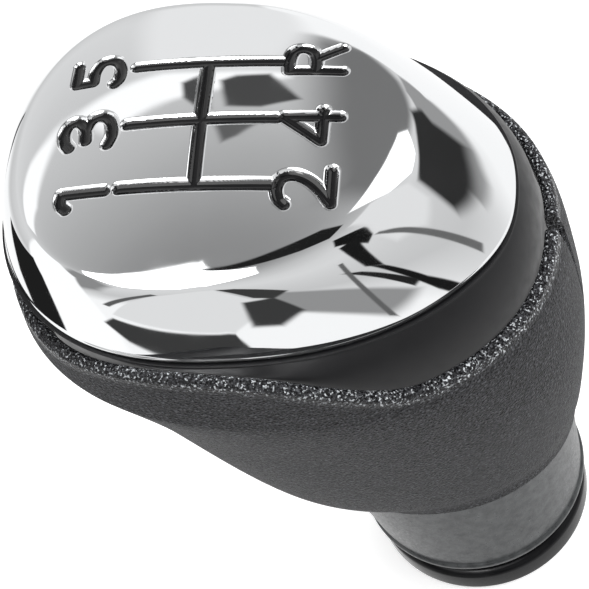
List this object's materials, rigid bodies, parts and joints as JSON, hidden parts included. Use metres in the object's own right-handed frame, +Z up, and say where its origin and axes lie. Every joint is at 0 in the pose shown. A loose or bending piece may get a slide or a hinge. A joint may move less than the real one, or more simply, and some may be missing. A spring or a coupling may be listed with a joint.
{
  "type": "gear shift knob",
  "caption": "Manual gear shift knob with a domed chrome cap, engraved shift gate, grained grip shells, smooth neck sleeve and a blind bore for a round lever.",
  "frame": {"origin": "centre of the lever bore's mouth, in the plane of the boot ring's flat bottom face", "axes": "+Z up along the lever towards the cap, +Y the car's forward (side of gears 1, 3 and 5), +X the car's right (side of gear 5 and reverse)"},
  "size_m": [0.0512, 0.0616, 0.0898],
  "materials": {
    "cap_chrome": "mirror-bright plated plastic",
    "enamel_black": "glossy black enamel fill",
    "bezel_satin": "satin black",
    "grip_grain": "fine leather grain, charcoal",
    "sleeve_satin": "smooth satin, dark grey",
    "ring_gloss": "gloss black",
    "carrier_plastic": "moulded, plain",
    "bush_brass": "turned",
    "spring_steel": "drawn wire"
  },
  "bodies": {
    "root": {"chrome_cap": "cap_chrome", "gate_enamel": "enamel_black", "bezel_ring": "bezel_satin", "grip_shell_right": "grip_grain", "grip_shell_left": "grip_grain", "neck_sleeve": "sleeve_satin", "boot_ring": "ring_gloss", "carrier": "carrier_plastic", "lever_bush": "bush_brass", "bush_clip": "spring_steel"}
  },
  "joints": []
}
